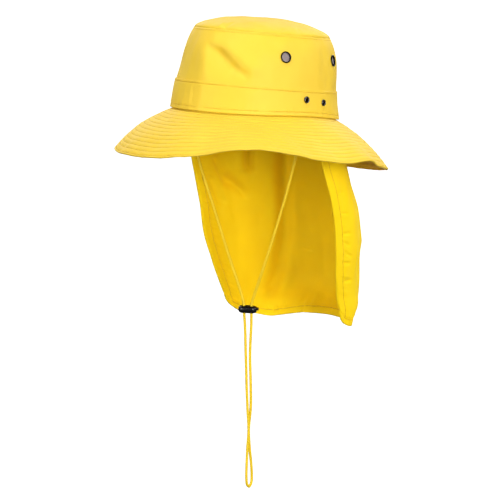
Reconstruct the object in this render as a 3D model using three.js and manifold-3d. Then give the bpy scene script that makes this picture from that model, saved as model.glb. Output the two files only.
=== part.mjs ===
// A wide-brim sun hat with a neck flap, a chin cord and a spring cord lock.
// Millimetres. +Z is up, the front of the hat faces -Y and the wearer's left is +X.
// The origin is the middle of the head opening, at the seam of crown and brim.
// Directions round the hat are degrees from +X, the wearer's left, by way of +Y, the nape.

import * as THREE from 'three';
import { mergeVertices } from 'three/addons/utils/BufferGeometryUtils.js';
import Module from 'manifold-3d';

// The oval of the crown at its lower seam, outside the cloth, and how the hat sits on the head.
const headHalfWidth = 84;
const headHalfLength = 101;
const meanRadius = (headHalfWidth + headHalfLength) / 2;
const tiltBack = 8.4;

// Cloth walls, and the gap that sewn pieces keep between their faces.
const crownCloth = 1.4;
const bandCloth = 1.2;
const brimCloth = 2.6;
const marginCloth = 1.2;
const flapCloth = 1.2;
const seamGap = 0.3;

// Crown: wall to the tip seam, the tip's rise above it, and the band that hides the lower seam.
const crownHeight = 90;
const tipRise = 16.8;
const tipFullness = 0.6;
const bandHeight = 32;
const marginHeight = 9;

// The height of the brim's lower face at its seam, with its upper face just below the crown.
const brimFoot = -(seamGap + brimCloth);

// The brim's turn from its margin, and the foot of the band above the same seam.
const seamTurn = 0.2;
const bandFoot = 0.4;

// Cloth facets: steps round the crown and the brim, across the flap and down it. Sections are
// drawn at one radius before each of their points is put in its place.
const crownSteps = 48;
const brimSteps = 56;
const flapSteps = 28;
const flapRows = 10;
const drawnRadius = 100;

// Vent eyelets on the crown and small eyelets through the band, two of each on either side.
const ventEyelet = { bore: 9.6, barrel: 10.8, flange: 13, facets: 12 };
const bandEyelet = { bore: 4.4, barrel: 5.4, flange: 7.6, facets: 10 };
// Their places: degrees before the middle of the hat's side, and height above the lower seam.
const ventPlaces = [
  { end: 'front', before: 28, height: 66 },
  { end: 'back', before: -24, height: 66 },
];
const bandPlaces = [
  { end: 'front', before: 10.5, height: 21 },
  { end: 'back', before: -6.5, height: 18.5 },
];
const screenThickness = 0.4;

// An eyelet's section: its flange and the washer inside, the flange's height at the bore and
// near its rim, and the room that each leaves to the curved cloth.
const flangeThickness = 0.8;
const washerThickness = 0.56;
const flangeAtBore = 0.48;
const flangeNearRim = 0.64;
const rimRound = 0.3;
const flangeSeat = 0.35;
const washerRoom = 0.2;
const holeLength = 16;
const tightestRadius = headHalfWidth ** 2 / headHalfLength;

// Chin cord and the cord lock: a stadium-shaped body with a slot for the cord's two legs,
// and a spring plunger that slides in a channel along it.
const cordDiameter = 3.2;
const cordSides = 8;
const stepsPerStretch = 2;
const lockCentre = new THREE.Vector3(3.2, -17.1, -218.4);
const lockYaw = 24;
const lockLength = 21.4;
const lockDepth = 12;
const lockHeight = 8.2;
const lockEdge = 2.4;
const legSpacing = 8.4;
const cordPlay = 0.35;
const plungerTravel = 2;
const plungerRise = 0.9;
const plungerHeight = 2.8;
const plungerDepth = 5.8;
const plungerRail = 0.95;
const plungerReach = 12.8;
const channelPlay = 0.3;
const plungerNose = 1.4;
const shoulderWall = 0.5;
const stemDepth = 4.2;
const stemRoot = 3;
const stemEdge = 0.5;
const slotRoom = 0.1;
const windowRoom = 0.4;

// The crown wall: how much of its lower oval is left at each height.
const crownTaper = [
  { height: 0, share: 1 },
  { height: 30, share: 0.978 },
  { height: 52, share: 0.95 },
  { height: 68, share: 0.92 },
  { height: 81, share: 0.875 },
  { height: 90, share: 0.832 },
];

// Rows of the cloth's facets: heights up the crown wall and the band, and shares of the way out
// over the two faces of the tip and across the brim.
const crownRows = [0, marginHeight, 22, 43, 57, 68, 77, 84, crownHeight];
const bandRows = [bandFoot, 11, 21.5, bandHeight];
const tipOuterShares = [0, 0.35, 0.6, 0.8, 0.93, 0.985, 1];
const tipInnerShares = [0, 0.5, 0.85, 1];
const brimShares = [0.1, 0.28, 0.46, 0.64, 0.82, 1];

// Dents in the crown wall, with swells as negative depths. The lean turns a dent's long way
// from upright towards the wearer's left, and long and wide are its half sizes.
const crownDents = [
  { toward: -80, height: 60, lean: 48, long: 30, wide: 11, depth: 3 },
  { toward: -94, height: 62, lean: 0, long: 26, wide: 6, depth: -1.8 },
  { toward: -116, height: 60, lean: 0, long: 30, wide: 18, depth: 2.2 },
  { toward: 40, height: 64, lean: 0, long: 20, wide: 40, depth: -1.4 },
  { toward: 40, height: 26, lean: 0, long: 16, wide: 40, depth: 1.2 },
  { toward: -146, height: 12, lean: 0, long: 30, wide: 44, depth: -2.2 },
  { toward: -46, height: 58, lean: 0, long: 30, wide: 22, depth: -1.2 },
];

// The brim, direction by direction: its mean fall below the plane of the head opening, how much
// steeper it is at the edge than at the seam, and its width along the cloth.
const brimWave = [
  { toward: -170, fall: 37.6, bend: 28, width: 79.5 },
  { toward: -142, fall: 39.3, bend: 30, width: 79.3 },
  { toward: -125, fall: 41.8, bend: 28, width: 79.5 },
  { toward: -105, fall: 42.8, bend: 26, width: 78 },
  { toward: -89, fall: 40.6, bend: 22, width: 77.5 },
  { toward: -73, fall: 35.2, bend: 16, width: 77 },
  { toward: -60, fall: 26.5, bend: 10, width: 77 },
  { toward: -48, fall: 23.7, bend: 8, width: 77 },
  { toward: -34, fall: 26, bend: 10, width: 77 },
  { toward: -17, fall: 30.2, bend: 14, width: 77 },
  { toward: -8, fall: 31, bend: 16, width: 77 },
  { toward: 2, fall: 28.6, bend: 14, width: 77 },
  { toward: 9, fall: 28.5, bend: 14, width: 77 },
  { toward: 17, fall: 32.5, bend: 20, width: 77 },
  { toward: 30, fall: 35.9, bend: 26, width: 78 },
  { toward: 46, fall: 38, bend: 28, width: 79.5 },
  { toward: 75, fall: 42.2, bend: 27, width: 79 },
  { toward: 108, fall: 40, bend: 26, width: 78 },
  { toward: 140, fall: 35, bend: 24, width: 78 },
  { toward: 166, fall: 35.2, bend: 26, width: 78 },
];

// The hanging flap, section by section: half its width, where its front edges are and how far
// it bellies out behind them. Its sections are ovals made squarer by a power below 1, and it
// leaves the oval of the seam for them the faster, the larger the seam's own power is.
const flapSections = [
  { height: -252, halfWidth: 78, front: 57.5, depth: 49.5 },
  { height: -238, halfWidth: 80.5, front: 53, depth: 61 },
  { height: -224, halfWidth: 83, front: 49, depth: 82 },
  { height: -205, halfWidth: 84.5, front: 41, depth: 98 },
  { height: -180, halfWidth: 89, front: 33, depth: 103 },
  { height: -150, halfWidth: 94, front: 26.5, depth: 105 },
  { height: -115, halfWidth: 95.8, front: 20.5, depth: 102 },
  { height: -80, halfWidth: 95.5, front: 11, depth: 97 },
  { height: -50, halfWidth: 92.5, front: 2, depth: 100 },
  { height: -20, halfWidth: 84.5, front: 0, depth: 99 },
  { height: 0, halfWidth: 79, front: 0, depth: 95 },
];

const flapSquareness = 0.85;
const flapSeamHold = 6;

// The flap's lower edge from the wearer's right to the left, and its round corners.
const flapHem = [
  { across: -1, height: -243 },
  { across: -0.45, height: -252.5 },
  { across: 0, height: -245.2 },
  { across: 1, height: -243 },
];
const flapCorner = { across: 0.2, rise: 14 };

// Soft folds down the flap: where each starts and how it leans, across the flap from -1 to 1.
const flapFolds = [
  { across: -0.18, lean: -0.3, wide: 0.1, depth: -4 },
  { across: -0.5, lean: -0.1, wide: 0.14, depth: 3 },
  { across: 0.12, lean: -0.05, wide: 0.14, depth: 3 },
  { across: 0.5, lean: 0.05, wide: 0.12, depth: -3 },
  { across: 0.8, lean: 0, wide: 0.1, depth: 2 },
];

// The chin cord's route: from its seam at the wearer's left, through the lock, round the loop
// that hangs below it, back through the lock and up to the seam at the right.
const cordRoute = [
  [77.5, -17.8, 7],
  [77.1, -17.4, -5],
  [73.4, -15.9, -21],
  [66.7, -14.5, -44],
  [49.8, -13.7, -96],
  [29.8, -14.1, -152],
  [13.2, -15.2, -196],
  [8.4, -15.4, -209],
  [7.04, -15.39, -215],
  [7.04, -15.39, -222.5],
  [6.8, -15.3, -235],
  [5.5, -15.9, -270],
  [6.0, -15.2, -307],
  [5.6, -14.7, -331],
  [3.2, -15.2, -357],
  [3.6, -14.2, -378],
  [4.2, -12.2, -397],
  [4.4, -11.3, -411],
  [4.4, -12.3, -419.3],
  [4.8, -16.6, -422.9],
  [5.1, -20.9, -419.3],
  [5.0, -22.0, -411],
  [4.6, -21.0, -397],
  [4.4, -19.4, -378],
  [5.4, -18.5, -357],
  [3.8, -18.4, -331],
  [2.7, -18.5, -307],
  [1.8, -18.9, -270],
  [0.6, -19.0, -235],
  [-0.64, -18.81, -222.5],
  [-0.64, -18.81, -215],
  [-1.9, -18.8, -209],
  [-5.6, -18.9, -198],
  [-19.9, -19.7, -163.5],
  [-42.0, -20.9, -107],
  [-62.6, -22.0, -55],
  [-73.6, -19.8, -21],
  [-77.1, -17.6, -5],
  [-77.5, -17.8, 7],
];

const wasm = await Module();
wasm.setup();

const radians = THREE.MathUtils.degToRad;

// Smooth value of a table's column at a place along its key column.
function readTable(table, key, column, place) {
  const last = table.length - 1;
  let row = 0;
  while (row < last - 1 && table[row + 1][key] < place) {
    row += 1;
  }
  const before = table[Math.max(row - 1, 0)];
  const from = table[row];
  const to = table[row + 1];
  const after = table[Math.min(row + 2, last)];
  const span = to[key] - from[key];
  const share = THREE.MathUtils.clamp((place - from[key]) / span, 0, 1);
  const startSlope = (span * (to[column] - before[column])) / (to[key] - before[key]);
  const endSlope = (span * (after[column] - from[column])) / (after[key] - from[key]);
  const rise = to[column] - from[column];
  const square = share * share;
  const cube = square * share;
  return from[column] + rise * (3 * square - 2 * cube)
    + startSlope * (cube - 2 * square + share) + endSlope * (cube - square);
}

// The brim's table closed on itself, so that a direction just past its end reads its start.
const brimRound = [
  { ...brimWave[brimWave.length - 1], toward: brimWave[brimWave.length - 1].toward - 360 },
  ...brimWave,
  { ...brimWave[0], toward: brimWave[0].toward + 360 },
  { ...brimWave[1], toward: brimWave[1].toward + 360 },
];

// Soft bump of height 1 that fades over its half size.
function swell(distance, halfSize) {
  return Math.exp(-((distance / halfSize) ** 2));
}

function dentDepth(angle, height) {
  let depth = 0;
  for (const dent of crownDents) {
    const turn = Math.atan2(Math.sin(angle - radians(dent.toward)), Math.cos(angle - radians(dent.toward)));
    const sideways = turn * meanRadius;
    const upwards = height - dent.height;
    const lean = radians(dent.lean);
    const lengthways = upwards * Math.cos(lean) - sideways * Math.sin(lean);
    const crossways = upwards * Math.sin(lean) + sideways * Math.cos(lean);
    depth += dent.depth * swell(lengthways, dent.long) * swell(crossways, dent.wide);
  }
  return depth;
}

// Point of the oval whose mean radius is given, in a direction round the hat.
function ovalPoint(angle, radius, height) {
  return new THREE.Vector3(
    (radius * headHalfWidth * Math.cos(angle)) / meanRadius,
    (radius * headHalfLength * Math.sin(angle)) / meanRadius,
    height,
  );
}

// Point of the crown wall, an inset inside the outer face of its cloth.
function crownPoint(angle, height, inset) {
  const share = readTable(crownTaper, 'height', 'share', Math.max(height, 0));
  return ovalPoint(angle, meanRadius * share - inset - dentDepth(angle, height), height);
}

function outwardOfOval(angle) {
  return new THREE.Vector3(
    Math.cos(angle) / headHalfWidth,
    Math.sin(angle) / headHalfLength,
    0,
  ).normalize();
}

// Closed body from a geometry: shared corners merged, flat faces dropped, faces pointing out.
function closedBody(geometry) {
  geometry.deleteAttribute('normal');
  geometry.deleteAttribute('uv');
  const merged = mergeVertices(geometry);
  const corners = merged.index.array;
  const kept = [];
  let volume = 0;
  const [a, b, c] = [new THREE.Vector3(), new THREE.Vector3(), new THREE.Vector3()];
  for (let i = 0; i < corners.length; i += 3) {
    const [first, second, third] = [corners[i], corners[i + 1], corners[i + 2]];
    if (first !== second && second !== third && third !== first) {
      kept.push([first, second, third]);
      a.fromBufferAttribute(merged.attributes.position, first);
      b.fromBufferAttribute(merged.attributes.position, second);
      c.fromBufferAttribute(merged.attributes.position, third);
      volume += a.dot(b.cross(c));
    }
  }
  if (volume < 0) {
    kept.forEach((face) => face.reverse());
  }
  merged.setIndex(kept.flat());
  return merged;
}

function toSolid(geometry) {
  return new wasm.Manifold(new wasm.Mesh({
    numProp: 3,
    vertProperties: new Float32Array(geometry.attributes.position.array),
    triVerts: new Uint32Array(geometry.index.array),
  }));
}

function fromSolid(solid) {
  const { vertProperties, triVerts } = solid.getMesh();
  const geometry = new THREE.BufferGeometry();
  geometry.setAttribute('position', new THREE.BufferAttribute(vertProperties, 3));
  geometry.setIndex(new THREE.BufferAttribute(triVerts, 1));
  return geometry;
}

function cut(geometry, cutters) {
  let solid = toSolid(geometry);
  for (const cutter of cutters) {
    solid = solid.subtract(toSolid(cutter));
  }
  return fromSolid(solid);
}

// A ring or cap turned from its section, then each of its points put where the hat has it.
function turnedCloth(section, steps, place) {
  const points = section.map(([out, up]) => new THREE.Vector2(out, up));
  const geometry = new THREE.LatheGeometry(points, steps);
  const position = geometry.attributes.position;
  for (let i = 0; i < position.count; i += 1) {
    const angle = Math.atan2(position.getX(i), position.getZ(i));
    const out = Math.hypot(position.getX(i), position.getZ(i));
    const point = place(angle, out, position.getY(i));
    position.setXYZ(i, point.x, point.y, point.z);
  }
  return closedBody(geometry);
}

// A wall that follows the crown between two heights: its section's first number is the inset.
function crownWall(heights, outerInset, innerInset) {
  const outerFace = heights.map((height) => [drawnRadius - outerInset, height]);
  const innerFace = heights.map((height) => [drawnRadius - innerInset, height]).reverse();
  const section = [...outerFace, ...innerFace, outerFace[0]];
  return turnedCloth(section, crownSteps, (angle, out, height) => (
    crownPoint(angle, height, drawnRadius - out)
  ));
}

// The tip's height above its seam, at a share of the way out to its rim.
function tipDome(share) {
  return tipRise * Math.max(1 - share * share, 0) ** tipFullness;
}

function crownTip() {
  const seamHeight = crownHeight + seamGap;
  const innerRim = 1 - (crownCloth / meanRadius) / crownTaper[crownTaper.length - 1].share;
  const outerFace = tipOuterShares.map((share) => [drawnRadius * share, seamHeight + tipDome(share)]);
  const innerFace = tipInnerShares.map((share) => [
    drawnRadius * share * innerRim,
    seamHeight + tipDome(share) * (1 - crownCloth / tipRise),
  ]).reverse();
  const section = [...outerFace, ...innerFace];
  return turnedCloth(section, crownSteps, (angle, out, height) => {
    const rim = crownPoint(angle, crownHeight, 0);
    return new THREE.Vector3((rim.x * out) / drawnRadius, (rim.y * out) / drawnRadius, height);
  });
}

// Point of the brim: a share of its width out from the seam, and how far above its lower face.
function brimPoint(angle, share, above) {
  const toward = THREE.MathUtils.euclideanModulo(THREE.MathUtils.radToDeg(angle) + 180, 360) - 180;
  const fall = readTable(brimRound, 'toward', 'fall', toward);
  const width = readTable(brimRound, 'toward', 'width', toward);
  const bend = readTable(brimRound, 'toward', 'bend', toward);
  const seamFall = radians(fall - bend / 2);
  const fallHere = radians(fall - bend / 2 + bend * share);
  const bendRadius = width / radians(bend);
  const out = bendRadius * (Math.sin(fallHere) - Math.sin(seamFall)) + above * Math.sin(fallHere);
  const down = bendRadius * (Math.cos(seamFall) - Math.cos(fallHere)) - above * Math.cos(fallHere);
  const seam = crownPoint(angle, 0, crownCloth + seamGap + marginCloth);
  const point = seam.addScaledVector(outwardOfOval(angle), out);
  point.z = brimFoot - down;
  return point;
}

// The brim's section: its upper and lower faces, and the margin that stands inside the crown.
function brim() {
  const upperFace = brimShares.map((share) => [drawnRadius * (1 + share), brimCloth]);
  const lowerFace = brimShares.map((share) => [drawnRadius * (1 + share), 0]).reverse();
  const marginTop = drawnRadius - marginHeight;
  const section = [
    [marginTop, marginCloth],
    [drawnRadius - seamTurn, marginCloth],
    ...upperFace,
    ...lowerFace,
    [drawnRadius, 0],
    [marginTop, 0],
    [marginTop, marginCloth],
  ];
  return turnedCloth(section, brimSteps, (angle, out, above) => {
    if (out >= drawnRadius) {
      return brimPoint(angle, (out - drawnRadius) / drawnRadius, above);
    }
    const inset = crownCloth + seamGap + marginCloth - above;
    const height = drawnRadius - out;
    const point = crownPoint(angle, height, inset);
    point.z = height === 0 ? brimFoot : height - seamGap * (1 - height / marginHeight);
    return point;
  });
}

// A point of the tilted hat in the frame of the hanging pieces.
function tilted(point) {
  return point.applyAxisAngle(new THREE.Vector3(1, 0, 0), -radians(tiltBack));
}

// Point of the middle of the flap's cloth. Across runs from -1 at the wearer's right front edge
// to 1 at the left, and down from 0 at the seam to 1 at the hem; above the seam it is negative.
function flapPoint(across, down) {
  const angle = radians(90 - 90 * across);
  const inset = crownCloth + seamGap + marginCloth + seamGap + flapCloth / 2;
  if (down < 0) {
    return tilted(crownPoint(angle, -down * marginHeight, inset));
  }
  const seam = tilted(crownPoint(angle, 0, inset));
  const cornerShare = Math.max(Math.abs(across) - 1 + flapCorner.across, 0) / flapCorner.across;
  const cornerRise = flapCorner.rise * (1 - Math.sqrt(Math.max(1 - cornerShare * cornerShare, 0)));
  const hem = readTable(flapHem, 'across', 'height', across) + cornerRise;
  const sideways = Math.sign(across) * Math.abs(Math.cos(angle)) ** flapSquareness;
  const backwards = Math.abs(Math.sin(angle)) ** flapSquareness;
  const section = (height) => {
    const halfWidth = readTable(flapSections, 'height', 'halfWidth', height);
    const front = readTable(flapSections, 'height', 'front', height);
    const depth = readTable(flapSections, 'height', 'depth', height);
    return new THREE.Vector3(halfWidth * sideways, front + depth * backwards, height);
  };
  const point = section(THREE.MathUtils.lerp(seam.z, hem, down));
  point.add(seam.sub(section(seam.z)).multiplyScalar((1 - down) ** flapSeamHold));
  let fold = 0;
  for (const row of flapFolds) {
    fold += row.depth * swell(across - row.across - row.lean * down, row.wide) * Math.sqrt(down);
  }
  return point.addScaledVector(outwardOfOval(angle), fold);
}

function neckFlap() {
  const geometry = new THREE.BoxGeometry(2, flapRows, 2, flapSteps, flapRows, 1);
  const position = geometry.attributes.position;
  const nudge = 0.002;
  for (let i = 0; i < position.count; i += 1) {
    const across = position.getX(i);
    const row = flapRows / 2 - position.getY(i);
    const down = row < 1 ? row - 1 : (row - 1) / (flapRows - 1);
    const here = flapPoint(across, down);
    const sideways = flapPoint(across + nudge, down).sub(flapPoint(across - nudge, down));
    const downwards = flapPoint(across, Math.min(down + nudge, 1));
    downwards.sub(flapPoint(across, Math.max(down - nudge, -1)));
    const outward = new THREE.Vector3().crossVectors(downwards, sideways).normalize();
    if (down <= 0) {
      outward.copy(tilted(outwardOfOval(radians(90 - 90 * across))));
    }
    here.addScaledVector(outward, (position.getZ(i) * flapCloth) / 2);
    position.setXYZ(i, here.x, here.y, here.z);
  }
  return closedBody(geometry);
}

// Where an eyelet sits: a frame on the outside of the cloth whose Y axis points out of it.
function eyeletFrame(toward, height, standOff) {
  const angle = radians(toward);
  const step = 0.01;
  const place = crownPoint(angle, height, -standOff);
  const round = crownPoint(angle + step, height, -standOff).sub(crownPoint(angle - step, height, -standOff));
  const upwards = crownPoint(angle, height + 1, -standOff).sub(crownPoint(angle, height - 1, -standOff));
  const outward = new THREE.Vector3().crossVectors(round, upwards).normalize();
  const turn = new THREE.Quaternion().setFromUnitVectors(new THREE.Vector3(0, 1, 0), outward);
  return new THREE.Matrix4().compose(place, turn, new THREE.Vector3(1, 1, 1));
}

// The hole in the cloth that an eyelet's barrel goes through.
function eyeletHole(size, frame) {
  const radius = size.barrel / 2 + seamGap;
  const hole = new THREE.CylinderGeometry(radius, radius, holeLength, size.facets);
  return closedBody(hole).applyMatrix4(frame);
}

// A metal eyelet: a rolled flange outside, the barrel through the cloth and a washer inside.
function eyelet(size, clothDepth) {
  const bore = size.bore / 2;
  const barrel = size.barrel / 2;
  const flange = size.flange / 2;
  const curveRoom = (flange * flange) / (2 * tightestRadius) + washerRoom;
  const washerSeat = -(clothDepth + seamGap + curveRoom);
  const section = [
    [bore, flangeSeat + flangeAtBore],
    [barrel, flangeSeat + flangeThickness],
    [flange - rimRound, flangeSeat + flangeNearRim],
    [flange, flangeSeat],
    [barrel, flangeSeat],
    [barrel, washerSeat],
    [flange, washerSeat],
    [flange, washerSeat - washerThickness],
    [bore, washerSeat - washerThickness],
    [bore, flangeSeat + flangeAtBore],
  ];
  const points = section.map(([out, up]) => new THREE.Vector2(out, up));
  return closedBody(new THREE.LatheGeometry(points, size.facets));
}

function ventScreen() {
  const radius = ventEyelet.bore / 2 - seamGap;
  const screen = new THREE.CylinderGeometry(radius, radius, screenThickness, ventEyelet.facets);
  return closedBody(screen);
}

function chinCord() {
  const route = new THREE.CatmullRomCurve3(cordRoute.map((point) => new THREE.Vector3(...point)));
  // Each stretch between two points has the same number of steps, so they crowd where it bends.
  route.getUtoTmapping = (share) => share;
  const section = new THREE.Shape();
  for (let side = 0; side < cordSides; side += 1) {
    const turn = (2 * Math.PI * side) / cordSides;
    const corner = [(cordDiameter / 2) * Math.cos(turn), (cordDiameter / 2) * Math.sin(turn)];
    if (side === 0) {
      section.moveTo(...corner);
    } else {
      section.lineTo(...corner);
    }
  }
  section.closePath();
  return closedBody(new THREE.ExtrudeGeometry(section, {
    steps: stepsPerStretch * (cordRoute.length - 1),
    extrudePath: route,
    bevelEnabled: false,
  }));
}

// A stadium from one x to another, as wide as given, standing between two heights.
function stadium(from, to, width, low, high, edge) {
  const radius = width / 2 - edge;
  const outline = new THREE.Shape();
  outline.absarc(to - width / 2, 0, radius, -Math.PI / 2, Math.PI / 2);
  outline.absarc(from + width / 2, 0, radius, Math.PI / 2, (3 * Math.PI) / 2);
  outline.closePath();
  const geometry = new THREE.ExtrudeGeometry(outline, {
    depth: high - low - 2 * edge,
    bevelEnabled: edge > 0,
    bevelSize: edge,
    bevelThickness: edge,
    bevelSegments: 2,
    curveSegments: 6,
  });
  geometry.translate(0, 0, low + edge);
  return closedBody(geometry);
}

// The lock's numbers along its own X axis, with the button at +X.
const slotHalf = legSpacing / 2 + cordDiameter / 2 + cordPlay;
const slotWidth = cordDiameter + 2 * cordPlay + slotRoom;
const windowWidth = plungerDepth - 2 * plungerRail;
const windowEnd = slotHalf + plungerTravel;
const shoulder = windowEnd + shoulderWall;
const channelEnd = -(slotHalf + plungerNose + plungerTravel + channelPlay);
const channelLow = plungerRise - plungerHeight / 2 - channelPlay;
const channelHigh = plungerRise + plungerHeight / 2 + channelPlay;

function lockBody() {
  const half = lockLength / 2;
  const channelDepth = plungerDepth + 2 * channelPlay;
  const body = stadium(-half, half, lockDepth, -lockHeight / 2, lockHeight / 2, lockEdge);
  const slot = stadium(-slotHalf, slotHalf, slotWidth, -lockHeight, lockHeight, 0);
  const round = stadium(channelEnd, shoulder + channelPlay, channelDepth, channelLow, channelHigh, 0);
  const squareLength = shoulder + channelPlay;
  const square = new THREE.BoxGeometry(squareLength, channelDepth, channelHigh - channelLow);
  square.translate(squareLength / 2, 0, plungerRise);
  const neck = new THREE.BoxGeometry(half, stemDepth + 2 * channelPlay, channelHigh - channelLow);
  neck.translate(shoulder + half / 2, 0, plungerRise);
  return cut(body, [slot, round, closedBody(square), closedBody(neck)]);
}

// The plunger: a flat frame with a window each side of its web for a leg of the cord, a shoulder
// that stops it inside the body, and a stem that ends in the button.
function lockButton() {
  const low = plungerRise - plungerHeight / 2;
  const high = plungerRise + plungerHeight / 2;
  const frame = stadium(-(slotHalf + plungerNose), shoulder, plungerDepth, low, high, 0);
  const square = new THREE.BoxGeometry(shoulder, plungerDepth, plungerHeight);
  square.translate(shoulder / 2, 0, plungerRise);
  const stem = stadium(shoulder - stemRoot, plungerReach, stemDepth, low, high, stemEdge);
  const joined = fromSolid(toSolid(frame).add(toSolid(closedBody(square))).add(toSolid(stem)));
  const webHalf = legSpacing / 2 - cordDiameter / 2 - cordPlay;
  const webStart = webHalf - plungerTravel - windowRoom;
  const farWindow = stadium(-slotHalf, webStart, windowWidth, -lockHeight, lockHeight, 0);
  const nearWindow = stadium(webHalf, windowEnd, windowWidth, -lockHeight, lockHeight, 0);
  return cut(joined, [farWindow, nearWindow]);
}

// Finishes, by the cloth or part that wears them.
const cottonTwill = new THREE.MeshStandardMaterial({ color: 0xf9d94a, roughness: 0.9, metalness: 0 });
const flapTwill = new THREE.MeshStandardMaterial({ color: 0xf5c71c, roughness: 0.9, metalness: 0 });
const braid = new THREE.MeshStandardMaterial({ color: 0xe8cc30, roughness: 0.8, metalness: 0 });
const gunmetal = new THREE.MeshStandardMaterial({ color: 0x3a3634, roughness: 0.35, metalness: 0.9 });
const nickel = new THREE.MeshStandardMaterial({ color: 0xb9b6b0, roughness: 0.3, metalness: 0.9 });
const screenWire = new THREE.MeshStandardMaterial({ color: 0xa89a9a, roughness: 0.6, metalness: 0.3 });
const blackAcetal = new THREE.MeshStandardMaterial({ color: 0x101011, roughness: 0.25, metalness: 0 });

function namedMesh(name, geometry, material) {
  geometry.computeVertexNormals();
  const mesh = new THREE.Mesh(geometry, material);
  mesh.name = name;
  return mesh;
}

const hat = new THREE.Group();
const headwear = new THREE.Group();
headwear.rotation.x = -radians(tiltBack);
hat.add(headwear);

// The eyelets, on the wearer's left and right, each before and behind the middle of its side.
const bandFace = seamGap + bandCloth;
const sides = [
  { side: 'left', middle: 0, forwards: -1 },
  { side: 'right', middle: 180, forwards: 1 },
];
const ventHoles = [];
const bandHoles = [];
for (const { side, middle, forwards } of sides) {
  for (const { end, before, height } of ventPlaces) {
    const frame = eyeletFrame(middle + forwards * before, height, 0);
    ventHoles.push(eyeletHole(ventEyelet, frame));
    const vent = namedMesh(`vent_eyelet_${side}_${end}`, eyelet(ventEyelet, crownCloth), gunmetal);
    const screen = namedMesh(`vent_screen_${side}_${end}`, ventScreen(), screenWire);
    vent.applyMatrix4(frame);
    screen.applyMatrix4(frame);
    headwear.add(vent, screen);
  }
  for (const { end, before, height } of bandPlaces) {
    const frame = eyeletFrame(middle + forwards * before, height, bandFace);
    bandHoles.push(eyeletHole(bandEyelet, frame));
    const clothDepth = bandFace + crownCloth;
    const small = namedMesh(`band_eyelet_${side}_${end}`, eyelet(bandEyelet, clothDepth), nickel);
    small.applyMatrix4(frame);
    headwear.add(small);
  }
}

const crownSide = crownWall(crownRows, 0, crownCloth);
headwear.add(namedMesh('crown_side', cut(crownSide, [...ventHoles, ...bandHoles]), cottonTwill));
headwear.add(namedMesh('crown_tip', crownTip(), cottonTwill));

const hatBand = crownWall(bandRows, -bandFace, -seamGap);
headwear.add(namedMesh('hat_band', cut(hatBand, bandHoles), cottonTwill));

headwear.add(namedMesh('brim', brim(), cottonTwill));
hat.add(namedMesh('neck_flap', neckFlap(), flapTwill));
hat.add(namedMesh('chin_cord', chinCord(), braid));

const cordLock = new THREE.Group();
cordLock.position.copy(lockCentre);
cordLock.rotation.z = radians(lockYaw);
cordLock.add(namedMesh('cord_lock_body', lockBody(), blackAcetal));
cordLock.add(namedMesh('cord_lock_button', lockButton(), blackAcetal));
hat.add(cordLock);

export default hat;
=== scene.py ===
# A wide-brim sun hat of yellow cotton twill, held up as a head holds it, with a long neck flap
# and a chin cord that runs through a spring cord lock. Metres; +Z is up and the hat faces -Y.

import functools
import math

import bmesh
import bpy
from mathutils import Matrix, Vector, noise


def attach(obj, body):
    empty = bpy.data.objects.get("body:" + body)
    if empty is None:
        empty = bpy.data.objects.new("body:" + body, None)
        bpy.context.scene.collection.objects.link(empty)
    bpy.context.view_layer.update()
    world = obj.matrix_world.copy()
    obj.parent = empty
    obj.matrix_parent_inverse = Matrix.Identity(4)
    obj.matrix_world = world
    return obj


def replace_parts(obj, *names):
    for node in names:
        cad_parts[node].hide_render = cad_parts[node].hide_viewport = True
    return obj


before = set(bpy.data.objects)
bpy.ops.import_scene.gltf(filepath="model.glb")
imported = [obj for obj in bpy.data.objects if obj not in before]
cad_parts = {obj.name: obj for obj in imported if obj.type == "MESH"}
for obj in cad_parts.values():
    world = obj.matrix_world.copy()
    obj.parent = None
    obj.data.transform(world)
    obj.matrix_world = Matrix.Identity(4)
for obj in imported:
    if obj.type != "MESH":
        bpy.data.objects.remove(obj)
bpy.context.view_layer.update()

# Camera: in front of the hat, to the wearer's left and a little above the brim, with a long
# lens that keeps the hat almost free of perspective.
azimuth = math.radians(38)
elevation = math.radians(11)
camera_distance = 3.5
picture_width = 0.554
picture_middle = (-0.0055, -0.1513)
sensor_width = 36


def direction(turn, rise):
    """The way out from the hat at a turn from its front and a rise above the level."""
    return Vector((math.sin(turn) * math.cos(rise), -math.cos(turn) * math.cos(rise), math.sin(rise)))


toward = direction(azimuth, elevation)
right = Vector((math.cos(azimuth), math.sin(azimuth), 0))
up = toward.cross(right)
looked_at = right * picture_middle[0] + up * picture_middle[1]
camera_data = bpy.data.cameras.new("camera")
camera_data.sensor_width = sensor_width
camera_data.lens = sensor_width * camera_distance / picture_width


def aimed(name, data, towards_it, distance):
    """A camera or lamp that stands off in a direction and faces what the picture shows."""
    made = bpy.data.objects.new(name, data)
    made.location = looked_at + towards_it * distance
    made.rotation_mode = "QUATERNION"
    made.rotation_quaternion = (-towards_it).to_track_quat("-Z", "Y")
    bpy.context.scene.collection.objects.link(made)
    return made


bpy.context.scene.camera = aimed("camera", camera_data, toward, camera_distance)
bpy.context.scene.view_settings.view_transform = "Standard"

# Light and stage: a pale studio, brighter above than below, with soft lamps on the camera's right
# and left, one overhead and three behind. The hat is held up and stands on nothing, so the white
# floor is well below it, and curves up into a wall all round.
world = bpy.data.worlds.new("pale_studio")
world.use_nodes = True
room = world.node_tree


def fill(tree, node, inputs):
    """Sets inputs of a node: each takes a value or the socket that it is linked to."""
    for socket, value in inputs.items():
        if isinstance(value, bpy.types.NodeSocket):
            tree.links.new(value, node.inputs[socket])
        else:
            node.inputs[socket].default_value = value


def add_node(tree, kind, inputs, **settings):
    """A new node with its settings and its inputs."""
    made = tree.nodes.new(kind)
    for name, value in settings.items():
        setattr(made, name, value)
    fill(tree, made, inputs)
    return made


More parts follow.
